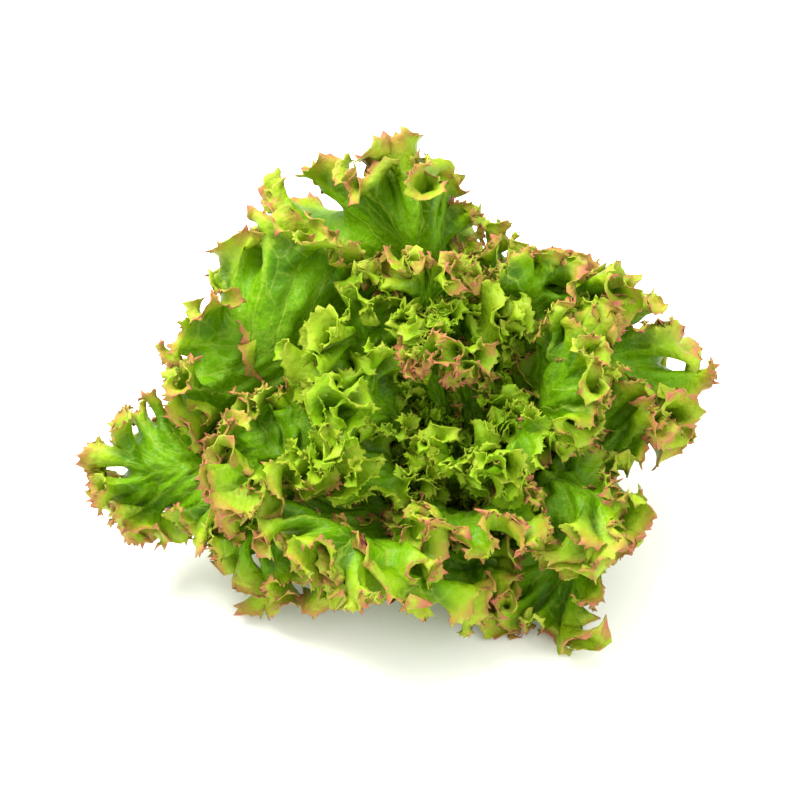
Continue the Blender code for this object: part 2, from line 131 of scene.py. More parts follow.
LARGE = Folds(30.0 * MM, math.radians(56), 2.2 * MM, 42.0 * MM)
FINE_FOLDS = (
    Folds(11.0 * MM, math.radians(56), 1.4 * MM, 31.0 * MM),
    Folds(4.0 * MM, math.radians(58), 0.5 * MM, 11.0 * MM),
    Folds(1.5 * MM, math.radians(46), 0.15 * MM, 3.0 * MM),
)
DEPTH_SHARE = 1.1
FOLD_POWER = 1.1
FOLD_WANDER = 0.3
FOLD_SLANT = 1.3
FOLD_VARIETY = 0.3
FINE_WANDER = 0.4
FINE_VARIETY = 0.4
SLIDE_POWER = 1.6
ROOT_FADE = 0.3
DRIFT_SWINGS = (0.4, 1.0)
DRIFT_SIZE = 1.8
FINE_SEED = 1000

# Below this frill scale, the mesh and the spacing of the veins grow no finer.
LEAST_SCALE = 0.6


class Leaf(NamedTuple):
    """One leaf: azimuth in degrees, layer, flat length and half width in mm, frill scale, inward bend."""

    name: str
    azimuth: float
    layer: float
    length: float
    half_width: float
    frill: float = 1.0
    bend: float = 0.0


LEAVES = (
    Leaf("leaf_front_left", 216, 1.00, 94, 42),
    Leaf("leaf_front_right", 303, 1.00, 82, 40),
    Leaf("leaf_right", 24, 1.00, 116, 46),
    Leaf("leaf_back", 114, 1.00, 163, 46, 1.04),
    Leaf("leaf_left", 186, 0.87, 153, 41, 0.92),
    Leaf("leaf_front", 259, 0.87, 80, 38),
    Leaf("leaf_right_front", 343, 0.87, 100, 40),
    Leaf("leaf_back_right", 64, 0.87, 128, 40),
    Leaf("leaf_mid_back_left", 153, 0.74, 148, 41, 0.95),
    Leaf("leaf_mid_front_left", 238, 0.74, 92, 38, 0.92),
    Leaf("leaf_mid_front_right", 322, 0.74, 98, 38, 0.92),
    Leaf("leaf_mid_right", 46, 0.74, 122, 40, 0.88),
    Leaf("leaf_mid_left", 196, 0.61, 112, 38, 0.92),
    Leaf("leaf_mid_front", 280, 0.61, 84, 34, 0.88),
    Leaf("leaf_mid_right_front", 2, 0.61, 104, 38, 0.88),
    Leaf("leaf_mid_back", 102, 0.61, 130, 38, 0.84),
    Leaf("leaf_inner_back_left", 150, 0.48, 108, 36, 0.80),
    Leaf("leaf_inner_front_left", 230, 0.48, 82, 31, 0.80),
    Leaf("leaf_inner_front_right", 318, 0.48, 78, 31, 0.76),
    Leaf("leaf_inner_back_right", 58, 0.48, 104, 34, 0.76),
    Leaf("leaf_inner_left", 190, 0.36, 86, 29, 0.72),
    Leaf("leaf_inner_front", 270, 0.36, 62, 25, 0.68),
    Leaf("leaf_inner_right", 350, 0.39, 70, 26, 0.68),
    Leaf("leaf_inner_back", 108, 0.36, 94, 32, 0.72),
    Leaf("leaf_folded", 35, 0.29, 102, 33, 0.74, 84),
)
OUTER_LAYER = 0.8
MIDDLE_LAYER = 0.5


class Kind(NamedTuple):
    """How red the tips of one kind of leaf are, how pale its frill is and how green that is."""

    redness: float
    pale: float
    fresh: float


KINDS = {
    "outer_leaf": Kind(1.0, 0.0, 0.0),
    "middle_leaf": Kind(0.85, 0.05, 0.12),
    "inner_leaf": Kind(0.15, 0.08, 0.7),
    "heart_leaf": Kind(0.05, 0.15, 0.9),
}
FOLDED_REDNESS = 1.0

HEART_LEAVES = 6
HEART_AZIMUTH = 146.0
GOLDEN_ANGLE = 137.5
HEART_LAYERS = (0.15, 0.01)
HEART_LENGTHS = (40.0, 24.0)
HEART_HALF_WIDTHS = (17.0, 11.0)
HEART_FRILL = 0.6
HEART_LIFT = 2.0 * MM
HEART_SEED = 100

# The mesh: how far apart its columns are on the margin, and its rows at the margin and at the rib.
COLUMN_SPACING = 0.125 * MM
FIRST_ROW = 0.7 * MM
ROW_GROWTH = 1.2
WIDEST_ROW = 3.0 * MM
RIB_ROWS = (0.8 * MM, 2.0 * MM, 4.0 * MM)
ZONES = (0.1 * MM, 2.0 * MM, 6.5 * MM, 15.0 * MM)
ROOM_STRIDE = 16

# Teeth: their flat wavelength, their length and lean, the notches between the lobes, and how far in each
# of them pulls the blade.
TOOTH_WAVE = 0.34 * MM
TOOTH_LENGTH = 2.9 * MM
TOOTH_SIZES = (0.25, 1.5)
TOOTH_LEAN = 0.5
TOOTH_CURL = 0.7
TOOTH_POWER = 1.3
TOOTH_WANDER = 1.5
TOOTH_ZONE = 1.9 * MM
LOBE_WAVE = 2.8 * MM
LOBE_NOTCH = 5.5 * MM
LOBE_ZONE = 6.0 * MM
LOBE_SIZES = (0.1, 1.0)
LOBE_WANDER = 1.2

# How far the fine folds may leave the room between the neighbours, and at what share beyond that.
FINE_ROOM = 1.2 * MM
BEYOND_SHARE = 0.3

# Relief of the blade: side veins and blisters between them. It starts beside the midrib, and is lower
# where the folds are strong.
RELIEF_START = 6.0 * MM
RELIEF_ON_FOLDS = 0.4
VEIN_SPACING = 11.0 * MM
QUILT_HEIGHT = 1.0 * MM
BLISTER_WAVES = 14
BLISTER_LENGTHS = (7.0 * MM, 18.0 * MM)
BLISTER_HEIGHT = 1.7 * MM
RIB_WIDTH = (1.0 * MM, 4.2 * MM)
RIB_TIP = 0.15
CREST_HEIGHT = 6.0 * MM

# Patterns on a leaf: how many times each noise repeats in a metre, and the veins' web in a millimetre.
PATCH_SCALE = 55.0
FLUSH_SCALE = 95.0
DISTORT_SCALE = 120.0
MOTTLE_SCALE = 240.0
PILLOW_SCALE = 330.0
WEB_SCALE = 0.5
LEAF_GLOSS = 0.16
GLOW_SHARE = 0.30

# The stem's foot from its axis outwards (radius less the cut's, height), and its ridges.
STEM_FOOT = ((-1.2 * MM, 0.0), (-0.5 * MM, 0.25 * MM), (0.0, 1.1 * MM), (0.0, 3.5 * MM))
STEM_WAIST = 0.6 * MM
STEM_RIDGES = 0.02
STEM_FIT = 0.985

# The growing tip under the heart's leaves: radius and height, in mm.
TIP_OUTLINE = ((0, 27.5), (4, 27.5), (6.5, 28.2), (6.5, 33), (5.2, 35.8), (2.8, 36.4), (0, 36.5))
TIP_RIDGES = 0.03

# The stage: half the floor's side, the lights, and the camera on the side that shows the heart.
FLOOR_HALF = 4.0
KEY_PLACE = (-0.6, 0.4, 1.3)
KEY_SIZE = 1.0
KEY_COLOUR = (1.0, 0.98, 0.94)
FILL_PLACE = (0.9, -0.9, 0.9)
FILL_SIZE = 1.2
FILL_SHARE = 0.2
FILL_COLOUR = (0.96, 0.98, 1.0)
SKY_COLOUR = (1.0, 1.0, 0.93, 1.0)
CAMERA_TARGET = (-0.021, 0.0, 0.0755)
CAMERA_DISTANCE = 0.785
CAMERA_LENS = 85

GAUSS_POINTS, GAUSS_WEIGHTS = np.polynomial.legendre.leggauss(10)
GAUSS_POINTS = (GAUSS_POINTS + 1) / 2
GAUSS_WEIGHTS = GAUSS_WEIGHTS / 2


# The shells


def smooth(x):
    """0 below 0, 1 above 1, and 3x^2 - 2x^3 between them."""
    x = np.clip(x, 0, 1)
    return x * x * (3 - 2 * x)


def drift(t, draw, waves):
    """A slow random curve: a sum of cosines of t, one for each wave count, with random size and offset."""
    total = 0
    for k in range(1, waves + 1):
        offset = draw.random()
        swing = draw.uniform(*DRIFT_SWINGS) / math.sqrt(k)
        total = total + swing * np.cos(2 * np.pi * (k * t + offset))
    return total / DRIFT_SIZE


def heading(s, layer, azimuth):
    """Angle above the horizontal: a start that depends on azimuth and layer, less a turn that grows with
    the way s up the shell."""
    front = (1 - np.cos(azimuth - BACK_AZIMUTH)) / 2
    start = OUTER_START[0] + OUTER_START[1] * front + OUTER_START[2] * front**2
    turn = OUTER_TURN[0] + OUTER_TURN[1] * front + OUTER_TURN[2] * front**2
    start = UPRIGHT - (UPRIGHT - start) * layer
    turn = INNER_TURN + (turn - INNER_TURN) * layer**INNER_TURN_POWER
    for waves, swing, offset in SWAY:
        start = start + swing * layer * np.cos(waves * azimuth + offset)
    return np.radians(start - turn * (np.abs(s) / TURN_LENGTH) ** TURN_POWER)


def profile(s, layer, azimuth, bend=0.0, bend_start=0.0):
    """Radius and height on a shell: the cosine and the sine of the heading, summed from 0 to s."""
    radius = ROOT_RADIUS[0] + (ROOT_RADIUS[1] - ROOT_RADIUS[0]) * layer
    height = ROOT_HEIGHT[0] + (ROOT_HEIGHT[1] - ROOT_HEIGHT[0]) * layer
    for point, weight in zip(GAUSS_POINTS, GAUSS_WEIGHTS):
        angle = heading(s * point, layer, azimuth)
        if bend:
            angle = angle + bend * smooth((s * point - bend_start) / BEND_LENGTH)
        radius = radius + s * weight * np.cos(angle)
        height = height + s * weight * np.sin(angle)
    return radius, height


def place(s, layer, azimuth, bend=0.0, bend_start=0.0, middle=0.0):
    """The profile's point turned to the azimuth, or shifted along the midrib's plane where it folds over."""
    radius, height = profile(s, layer, azimuth)
    x, y = radius * np.cos(azimuth), radius * np.sin(azimuth)
    if bend:
        folded, height = profile(s, layer, azimuth, bend, bend_start)
        x, y = x + (folded - radius) * math.cos(middle), y + (folded - radius) * math.sin(middle)
    return np.stack([x, y, height], -1)


def shell_frame(s, layer, azimuth, bend=0.0, bend_start=0.0, middle=0.0):
    """Unit vectors up the profile, round the stem and out: differences of the place, made square."""
    fold = bend, bend_start, middle
    step = 0.1 * MM
    up = place(s + step, layer, azimuth, *fold) - place(s - step, layer, azimuth, *fold)
    up /= np.linalg.norm(up, axis=-1, keepdims=True)
    turn = 0.1 * MM / FLAT_RADIUS
    round_stem = place(s, layer, azimuth + turn, *fold) - place(s, layer, azimuth - turn, *fold)
    round_stem -= (round_stem * up).sum(-1, keepdims=True) * up
    round_stem /= np.linalg.norm(round_stem, axis=-1, keepdims=True)
    return up, round_stem, np.cross(round_stem, up)


def half_breadth(share, half_width):
    """A sine arch over the margin's share from root to tip, plus the root's own width."""
    blade = half_width * np.sin(np.pi * share**WIDEST_POWER) ** FULLNESS_POWER
    return blade + ROOT_HALF_WIDTH * (1 - share) ** 2


def margin(t, length, half_width):
    """Flat outline (across, along): half the breadth to a side, and a cosine run along the length."""
    side = np.where(t <= 0.5, 1.0, -1.0)
    share = 1 - np.abs(2 * t - 1)
    along = length * (1 - np.cos(np.pi * share**TIP_POWER)) / 2
    return side * half_breadth(share, half_width), along


def breadth_at(along, length, half_width):
    """Half the blade's breadth at that length: the margin's run along it, solved for the share."""
    share = (np.arccos(np.clip(1 - 2 * along / length, -1, 1)) / np.pi) ** (1 / TIP_POWER)
    return np.where(along < length, half_breadth(share, half_width), 0.0)


def vein_foot(t, length):
    """Where on the midrib the vein to the margin point t starts: a power of its share of the way."""
    return length * VEIN_REACH * (1 - np.abs(2 * t - 1)) ** VEIN_POWER


def spread(across, s, leaf):
    """The azimuth of a point across the blade: its width over the wrapping radius, narrowed to the limit."""
    azimuth = math.radians(leaf.azimuth)
    wrap = np.hypot(profile(s, leaf.layer, azimuth + 0 * s)[0], FLAT_RADIUS)
    reach = breadth_at(s, leaf.length * MM, leaf.half_width * MM) / wrap
    return azimuth + across / wrap / (1 + (reach / SIDE_LIMIT) ** SIDE_POWER) ** (1 / SIDE_POWER)


def frill_strength(distance, half_width, frill):
    """1 on the margin, falling as a power of the distance to 0 where the large folds run out."""
    depth = min(LARGE.depth * frill, DEPTH_SHARE * half_width)
    return np.clip(1 - distance / depth, 0, 1) ** FOLD_POWER


def room(s, azimuth, layer, strength, others):
    """Free distance to the nearest neighbours outside and inside: the gap between the two shells, shared
    by how strongly each blade is folded there, and fading out past the neighbour's margin."""
    here = place(s, layer, azimuth)
    normal = shell_frame(s, layer, azimuth)[2]
    radius, _ = profile(s, layer, azimuth)
    outer = np.full(s.shape, FREE_ROOM)
    inner = np.maximum(INWARD_SHARE * radius, LEAST_ROOM)
    for other in others:
        if other.layer == layer:
            continue
        length, half_width = other.length * MM, other.half_width * MM
        turned = np.remainder(azimuth - math.radians(other.azimuth) + np.pi, 2 * np.pi) - np.pi
        across = np.abs(turned) * np.hypot(radius, FLAT_RADIUS)
        reach = breadth_at(s / (1 + 2 * MARGIN_ROOM / length), length, half_width)
        inside = smooth((2 * MARGIN_ROOM + reach - across) / MARGIN_ROOM) * (reach > 0)
        from_margin = np.maximum(np.minimum(reach - across, length - s), 0)
        theirs = frill_strength(from_margin, half_width, other.frill)
        share = (strength + 0.1) / (strength + theirs + 0.2)
        gap = np.abs(((place(s, other.layer, azimuth) - here) * normal).sum(-1))
        free = np.maximum((gap - RIB_ROOM - CLEARANCE) * share, LEAST_ROOM)
        free = free / np.maximum(inside, LEAST_ROOM / FREE_ROOM)
        if other.layer > layer:
            outer = np.minimum(outer, free)
        else:
            inner = np.minimum(inner, free)
    return outer, inner


def room_between(s, azimuth, layer, strength, others):
    """The room worked out for one column in so many, and in even steps between those."""
    coarse = (a[::ROOM_STRIDE] for a in (s, azimuth))
    step = (np.arange(ROOM_STRIDE) / ROOM_STRIDE)[:, None]
    filled = []
    for values in room(*coarse, layer, strength[::ROOM_STRIDE], others):
        steps = values[:-1, None] + (values[1:] - values[:-1])[:, None] * step
        filled.append(np.concatenate([steps.reshape(-1, s.shape[1]), values[-1:]]))
    return filled


# Folds and teeth


def directions(points):
    """Unit vectors along the margin, outwards across the blade, and out of it, from differences.

    The midrib, where the two halves of the blade meet, takes those of the row beside it.
    """
    along = np.gradient(points, axis=0)
    normal = np.cross(along, np.gradient(points, axis=1))
    for part in (along, normal):
        part /= np.linalg.norm(part, axis=-1, keepdims=True) + 1e-12
        part[:, 0] = part[:, 1]
    return along, np.cross(normal, along), normal


def ripple(points, bend, slide):
    """Turns each vein out of the blade by the angle bend, step by step, and slides it along the margin."""
    along, outward, normal = directions(points)
    step = np.linalg.norm(np.diff(points, axis=1), axis=-1)[..., None]
    angle = ((bend[:, 1:] + bend[:, :-1]) / 2)[..., None]
    outward = (outward[:, 1:] + outward[:, :-1]) / 2
    normal = (normal[:, 1:] + normal[:, :-1]) / 2
    moved = step * ((np.cos(angle) - 1) * outward + np.sin(angle) * normal)
    rippled = points.copy()
    rippled[:, 1:] += np.cumsum(moved, axis=1)
    return rippled + slide[..., None] * along


def margin_length(leaf):
    """The rough length of the margin, from the leaf's length and width."""
    return (2.1 * leaf.length + 0.8 * leaf.half_width) * MM


def large_folds(points, leaf, t, w, strength, seed):
    """The blade bent by a cosine of the way along its margin, whose phase wanders and slants."""
    draw = np.random.default_rng(seed)
    wander = FOLD_WANDER * drift(t, draw, 5) + draw.random()
    count = round(margin_length(leaf) / (LARGE.length * leaf.frill))
    phase = 2 * np.pi * (count * t + wander) + FOLD_SLANT * (1 - w) * drift(t, draw, 3)
    swell = strength * (1 + FOLD_VARIETY * drift(t, draw, 7))
    slide = LARGE.overhang * leaf.frill * swell**2 * np.sin(2 * phase) * smooth(3 * w)
    return ripple(points, LARGE.bend * swell * np.cos(phase), slide)


def fine_folds(points, leaf, t, w, from_margin, body, seed):
    """Curls, crimps on them and the finest crimps on those, each a ripple of its own length that fades
    inwards."""
    draw = np.random.default_rng(FINE_SEED + seed)
    for number, folds in enumerate(FINE_FOLDS):
        count = round(margin_length(leaf) / (folds.length * leaf.frill))
        wander = FINE_WANDER * drift(t, draw, 5 + 6 * number) + draw.random()
        phase = 2 * np.pi * (count * t + wander) + FOLD_SLANT * (1 - w) * drift(t, draw, 4)
        size = 1 + FINE_VARIETY * drift(t, draw, 8 + 12 * number)
        reach = np.clip(1 - from_margin / (folds.depth * leaf.frill), 0, 1) ** FOLD_POWER * body
        slide = folds.overhang * leaf.frill * size * reach**SLIDE_POWER
        slide = slide * np.sin(2 * phase) * smooth(3 * w)
        points = ripple(points, folds.bend * size * reach * np.cos(phase), slide)
    return points


def teeth(points, leaf, t, from_margin, body, tooth_length, seed):
    """Pulls the margin out in pointed teeth and in at the notches between lobes; also returns the teeth.

    A tooth is a power of a triangle wave. Its size, lean along the margin and curl out of the blade are
    random, as is the depth of each notch.
    """
    draw = np.random.default_rng(2 * FINE_SEED + seed)
    turn = margin_length(leaf) / leaf.frill * t
    way = turn / TOOTH_WAVE + TOOTH_WANDER * drift(t, draw, 19) + 3
    number = np.floor(way).astype(int)
    many = number.max() + 3
    size = draw.uniform(*TOOTH_SIZES, many)[number]
    lean, curl = draw.uniform(-1, 1, (2, many))[:, number]
    tooth = (1 - np.abs(2 * (way - number) - 1)) ** TOOTH_POWER * size
    near = np.clip(1 - from_margin / (TOOTH_ZONE * leaf.frill), 0, 1) ** TOOTH_POWER * body
    tooth = tooth * near

    way = turn / LOBE_WAVE + LOBE_WANDER * drift(t, draw, 11) + 3
    number = np.round(way).astype(int)
    notch = (1 - 2 * np.abs(way - number)) ** 2 * draw.uniform(*LOBE_SIZES, number.max() + 3)[number]
    notch = notch * np.clip(1 - from_margin / (LOBE_ZONE * leaf.frill), 0, 1) ** 1.2 * body

    along, outward, normal = directions(points)
    length = tooth_length * leaf.frill
    moved = (length * tooth - LOBE_NOTCH * leaf.frill * notch)[..., None] * outward
    moved += (length * TOOTH_LEAN * lean * tooth)[..., None] * along
    moved += (length * TOOTH_CURL * curl * tooth)[..., None] * normal
    return points + moved, tooth


def blisters(across, along, draw):
    """An uneven surface between about -1 and 1: a sum of plane waves in random directions."""
    total = np.zeros(across.shape)
    for _ in range(BLISTER_WAVES):
        wave = 2 * np.pi / draw.uniform(*BLISTER_LENGTHS)
        turn = draw.uniform(0, np.pi)
        total += np.cos(wave * (across * math.cos(turn) + along * math.sin(turn)) + draw.uniform(0, 6.28))
    return total / math.sqrt(BLISTER_WAVES)


def row_places(leaf):
    """Rows from the midrib, at 0, to the margin, at 1: close together at both, and growing apart."""
    depth = leaf.half_width * MM
    steps, step = [], FIRST_ROW * leaf.frill
    while sum(steps) < depth:
        steps.append(step)
        step = min(step * ROW_GROWTH, WIDEST_ROW * max(leaf.frill, LEAST_SCALE))
    from_margin = np.concatenate([[0.0], np.cumsum(steps)]) / sum(steps)
    rib_rows = np.array(RIB_ROWS) * leaf.frill / depth
    blade_rows = 1 - from_margin[from_margin < 1 - 1.35 * rib_rows[-1]][::-1]
    return np.concatenate([[0.0], rib_rows, blade_rows])


def leaf_surface(leaf, others, seed, shape, lift=0.0):
    """The blade's middle surface as a grid of columns and rows, its normals, and what its finish reads.

    Large folds are limited to the room between the shells, as in the part's solids. The fine folds and
    the teeth are put on the result, and only a share of what they have beyond the room is kept. Nothing
    else limits them, so they cross each other and the neighbours' ones in many places.
    """
    length, half_width = leaf.length * MM, leaf.half_width * MM
    bend = math.radians(leaf.bend), BEND_START * length, math.radians(leaf.azimuth)
    columns = 32 * round(margin_length(leaf) / (COLUMN_SPACING * max(leaf.frill, LEAST_SCALE)) / 32)
    rows = row_places(leaf)
    t, w = np.meshgrid(np.linspace(0, 1, columns + 1), rows, indexing="ij")
    edge_across, edge_along = margin(t, length, half_width)
    foot = vein_foot(t, length)
    s = foot + (edge_along - foot) * w + lift
    across = edge_across * w
    azimuth = spread(across, s, leaf)
    points = place(s, leaf.layer, azimuth, *bend)
    from_margin = (1 - w) * np.hypot(edge_across, edge_along - foot)
    body = smooth((1 - np.abs(2 * t - 1)) / ROOT_FADE)
    strength = frill_strength(from_margin, half_width, leaf.frill) * body

    moved = large_folds(points, leaf, t, w, strength, seed) - points
    up, round_stem, normal = shell_frame(s, leaf.layer, azimuth, *bend)
    wrap = np.hypot(profile(s, leaf.layer, azimuth)[0], FLAT_RADIUS)
    s = np.maximum(s + (moved * up).sum(-1), 0.2 * MM * w)
    azimuth = azimuth + (moved * round_stem).sum(-1) / wrap
    out = (moved * normal).sum(-1)
    outer, inner = room_between(s, azimuth, leaf.layer, strength, others)
    limit = np.where(out > 0, outer, inner)
    out = limit * np.tanh(out / limit)
    normal = shell_frame(s, leaf.layer, azimuth, *bend)[2]
    points = place(s, leaf.layer, azimuth, *bend) + out[..., None] * normal

    draw = np.random.default_rng(3 * FINE_SEED + seed)
    flat = smooth(np.abs(across) / RELIEF_START) * (1 - (1 - RELIEF_ON_FOLDS) * strength)
    quilt = np.cos(2 * np.pi * foot / (VEIN_SPACING * max(leaf.frill, LEAST_SCALE)))
    relief = QUILT_HEIGHT * quilt + BLISTER_HEIGHT * blisters(across, s, draw)
    points = points - (relief * flat * leaf.frill)[..., None] * normal
    points = pushed(wavy(points, FOLDED_WAVE_SLOPE if leaf.bend else WAVE_SLOPE))
    normal = directions(points)[2]
    fine = fine_folds(points, leaf, t, w, from_margin, body, seed)
    fine, tooth = teeth(fine, leaf, t, from_margin, body, shape.tooth_length, seed)
    total = out + ((fine - points) * normal).sum(-1)
    beyond = np.maximum(np.abs(total) - np.where(total > 0, outer, inner) - FINE_ROOM, 0)
    fine = fine - ((1 - BEYOND_SHARE) * np.sign(total) * beyond)[..., None] * normal
    fine = settle(fine, FLOOR_GAP + FLOOR_STEP * (1 - leaf.layer))

    facing = directions(fine)[2]
    facing[:, 0] += facing[::-1, 0]
    facing /= np.linalg.norm(facing, axis=-1, keepdims=True)
    reads = {
        "edge": from_margin / MM,
        "rib": np.abs(across) / MM,
        "vein": foot / MM,
        "along": s / MM,
        "crest": np.clip(total / CREST_HEIGHT, -1, 1),
        "height": s / length,
        "tooth": tooth,
    }
    return fine, facing, rows, reads


def still(points):
    """0 round the stem, where the leaves are held, and 1 further away."""
    near, far = STILL_RADII
    return smooth((np.linalg.norm(points - (0, 0, STEM_HEIGHT), axis=-1) - near) / (far - near))


def wavy(points, slope):
    """Waves through the whole head. Each moves things square to its own travel, so no two can meet."""
    draw = np.random.default_rng(WAVE_SEED)
    for length in WAVE_LENGTHS:
        travel, other = draw.normal(size=(2, 3))
        travel /= np.linalg.norm(travel)
        shift = np.cross(travel, other)
        shift /= np.linalg.norm(shift)
        size = slope * length * MM / (2 * np.pi) * still(points)
        swing = np.sin(2 * np.pi * (points @ travel / (length * MM) + draw.random()))
        points = points + (size * swing)[..., None] * shift
    return points


def pushed(points):
    """Each push moves what is near it across or up in the view, and no part of the head through another."""
    for across, up, move_across, move_up in np.array(PUSHES) * MM:
        height = points[..., 1] * math.sin(VIEW_ANGLE) + points[..., 2] * math.cos(VIEW_ANGLE)
        distance = np.hypot(points[..., 0] - across, height - up)
        share = np.exp(-((distance / PUSH_RADIUS) ** 2) / 2) * still(points)
        lift = move_up * share * math.cos(VIEW_ANGLE) * smooth(points[..., 2] / LIFT_HEIGHT)
        back = (move_up * share - lift * math.cos(VIEW_ANGLE)) / math.sin(VIEW_ANGLE)
        points = points + np.stack([move_across * share, back, lift], -1)
    return points


def settle(points, floor):
    """Lifts what would sink below the floor's height, along one branch of a hyperbola."""
    height = points[..., 2] - floor
    points[..., 2] = floor + (height + np.hypot(height, 2 * FLOOR_SOFTNESS)) / 2
    return points


# Meshes


def grid_faces(columns, rows, steps):
    """Triangles on a grid whose rows have a vertex at each step-th column, and two for one where the step
    changes."""
    faces = []
    for row in range(rows - 1):
        step, next_step = steps[row : row + 2]
        first = np.arange(0, columns, step) * rows + row
        last = first + step * rows
        above, above_last = first + 1, last + 1
        if next_step == step:
            faces += [(first, last, above_last), (first, above_last, above)]
        else:
            middle = above + step // 2 * rows
            faces += [(first, last, middle), (first, middle, above), (last, above_last, middle)]
    return np.concatenate([np.stack(corners, -1) for corners in faces])


def blade_shell(surface, shape, rib_scale):
    """A closed blade: the middle surface moved half its thickness to each side and joined by a rim.

    The under side stands out further along the midrib, by a bell curve across it that shrinks to the tip.
    """
    points, facing, rows, reads = surface
    columns, count = points.shape[0] - 1, points.shape[1]
    depth = (1 - rows) * reads["edge"][:, 0].max() * MM
    steps = 2 ** np.searchsorted(np.array(ZONES) * max(rib_scale, LEAST_SCALE), depth)
    faces = grid_faces(columns, count, steps)
    numbers = np.arange(points.shape[0] * count).reshape(-1, count)
    welded = numbers.copy()
    welded[columns // 2 + 1 :, 0] = numbers[: columns - columns // 2, 0][::-1]
    faces = welded.ravel()[faces]

    left, right, top = numbers[0], welded[columns], numbers[:, -1]
    loop = np.concatenate([right[:-1], top[::-1], left[1:-1][::-1]])
    height = np.clip(reads["height"], 0, 1)
    narrow, wide = RIB_WIDTH
    width = wide + (narrow - wide) * height**0.7
    rib = rib_scale * shape.rib_height * (1 - (1 - RIB_TIP) * height**0.6)
    rib = rib * np.exp(-((reads["rib"] * MM / width) ** 2))
    half = shape.blade_thickness / 2
    upper = points + half * facing
    lower = points - (half + rib)[..., None] * facing

    used, compact = np.unique(faces, return_inverse=True)
    faces = compact.reshape(faces.shape)
    place_of = np.full(numbers.size, -1)
    place_of[used] = np.arange(len(used))
    rim = place_of[loop]
    rim = rim[rim >= 0]
    after = np.roll(rim, -1)
    size = len(used)
    walls = np.concatenate([
        np.stack([after, rim, rim + size], -1),
        np.stack([after, rim + size, after + size], -1),
    ])
    triangles = np.concatenate([faces, faces[:, ::-1] + size, walls])
    verts = np.concatenate([side.reshape(-1, 3)[used] for side in (upper, lower)])
    values = {name: np.tile(value.ravel()[used], 2) for name, value in reads.items()}
    values["under"] = np.repeat([0.0, 1.0], size)
    return verts, triangles, values


def joined(parts):
    """Several (vertices, triangles, values) as one."""
    offset, verts, triangles = 0, [], []
    for part_verts, part_triangles, _ in parts:
        verts.append(part_verts)
        triangles.append(part_triangles + offset)
        offset += len(part_verts)
    values = {name: np.concatenate([part[2][name] for part in parts]) for name in parts[0][2]}
    return np.concatenate(verts), np.concatenate(triangles), values


def mesh_object(name, verts, triangles, values, material):
    """A smooth-shaded object at the origin, with each of the values as a point attribute."""
    mesh = bpy.data.meshes.new(name)
    mesh.vertices.add(len(verts))
    mesh.vertices.foreach_set("co", verts.astype(np.float32).ravel())
    mesh.loops.add(triangles.size)
    mesh.loops.foreach_set("vertex_index", triangles.astype(np.int32).ravel())
    mesh.polygons.add(len(triangles))
    mesh.polygons.foreach_set("loop_start", np.arange(0, triangles.size, 3, dtype=np.int32))
    mesh.update(calc_edges=True)
    for key, value in values.items():
        mesh.attributes.new(key, "FLOAT", "POINT").data.foreach_set("value", value.astype(np.float32))
    mesh.materials.append(material)
    mesh.shade_smooth()
    made = bpy.data.objects.new(name, mesh)
    bpy.context.scene.collection.objects.link(made)
    return made


def attach(made, node):
    """Rides a piece on the head in place of its CAD node, which it hides."""
    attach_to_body(made, "root")
    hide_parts(node)


def young_leaves():
    """The heart's leaves, in a golden-angle spiral that grows shorter and narrower inwards."""
    shares = np.linspace(0, 1, HEART_LEAVES)
    layers, lengths, half_widths = (
        first + (last - first) * shares for first, last in (HEART_LAYERS, HEART_LENGTHS, HEART_HALF_WIDTHS)
    )
    azimuths = HEART_AZIMUTH + GOLDEN_ANGLE * np.arange(HEART_LEAVES)
    rows = enumerate(zip(azimuths, layers, lengths, half_widths))
    return tuple(Leaf(f"young_{number}", *row, HEART_FRILL) for number, row in rows)


def lathe(outline, sides, bumps):
    """A turned solid: the outline's radius and height carried round the axis, with a wave on the radius."""
    radius, height = np.array(outline).T
    turn = np.linspace(0, 2 * np.pi, sides, endpoint=False)[:, None]
    level = height[1:-1]
    wave = 1 + bumps * (np.cos(5 * turn + 60 * level) + np.cos(8 * turn - 1 + 90 * level)) / 2
    body = radius[1:-1] * wave * np.ones_like(turn)
    ring = np.stack([body * np.cos(turn), body * np.sin(turn), level + 0 * body], -1)
    count = len(outline) - 2
    verts = np.concatenate([ring.reshape(-1, 3), [[0, 0, height[0]], [0, 0, height[-1]]]])
    first = np.arange(sides)[:, None] * count + np.arange(count - 1)
    last = (first + count) % (sides * count)
    quads = [np.stack(c, -1).reshape(-1, 3) for c in ((first, last, last + 1), (first, last + 1, first + 1))]
    start = np.arange(sides) * count
    after = (start + count) % (sides * count)
    low, high = sides * count, sides * count + 1
    caps = [
        np.stack([after, start, np.full(sides, low)], -1),
        np.stack([start + count - 1, after + count - 1, np.full(sides, high)], -1),
    ]
    return verts, np.concatenate(quads + caps)


# Materials


class Value:
    """A number that changes over a surface. Python's operators on it add Math nodes."""

    def __init__(self, finish, socket):
        self.finish = finish
        self.socket = socket

    def __add__(self, other):
        return self.finish.math("ADD", self, other)

    def __sub__(self, other):
        return self.finish.math("SUBTRACT", self, other)

    def __rsub__(self, other):
        return self.finish.math("SUBTRACT", other, self)

    def __mul__(self, other):
        return self.finish.math("MULTIPLY", self, other)

    def __truediv__(self, other):
        return self.finish.math("DIVIDE", self, other)

    def __pow__(self, other):
        return self.finish.math("POWER", self, other)

    __radd__ = __add__
    __rmul__ = __mul__

    def fade(self, start, end):
        """0 at start and 1 at end, in an even curve, whichever is larger."""
        low, high = min(start, end), max(start, end)
        settings = {"interpolation_type": "SMOOTHSTEP"}
        inputs = {"Value": self, "From Min": low, "From Max": high}
        made = Value(self.finish, self.finish.node("ShaderNodeMapRange", settings, inputs).outputs["Result"])
        return 1 - made if start > end else made


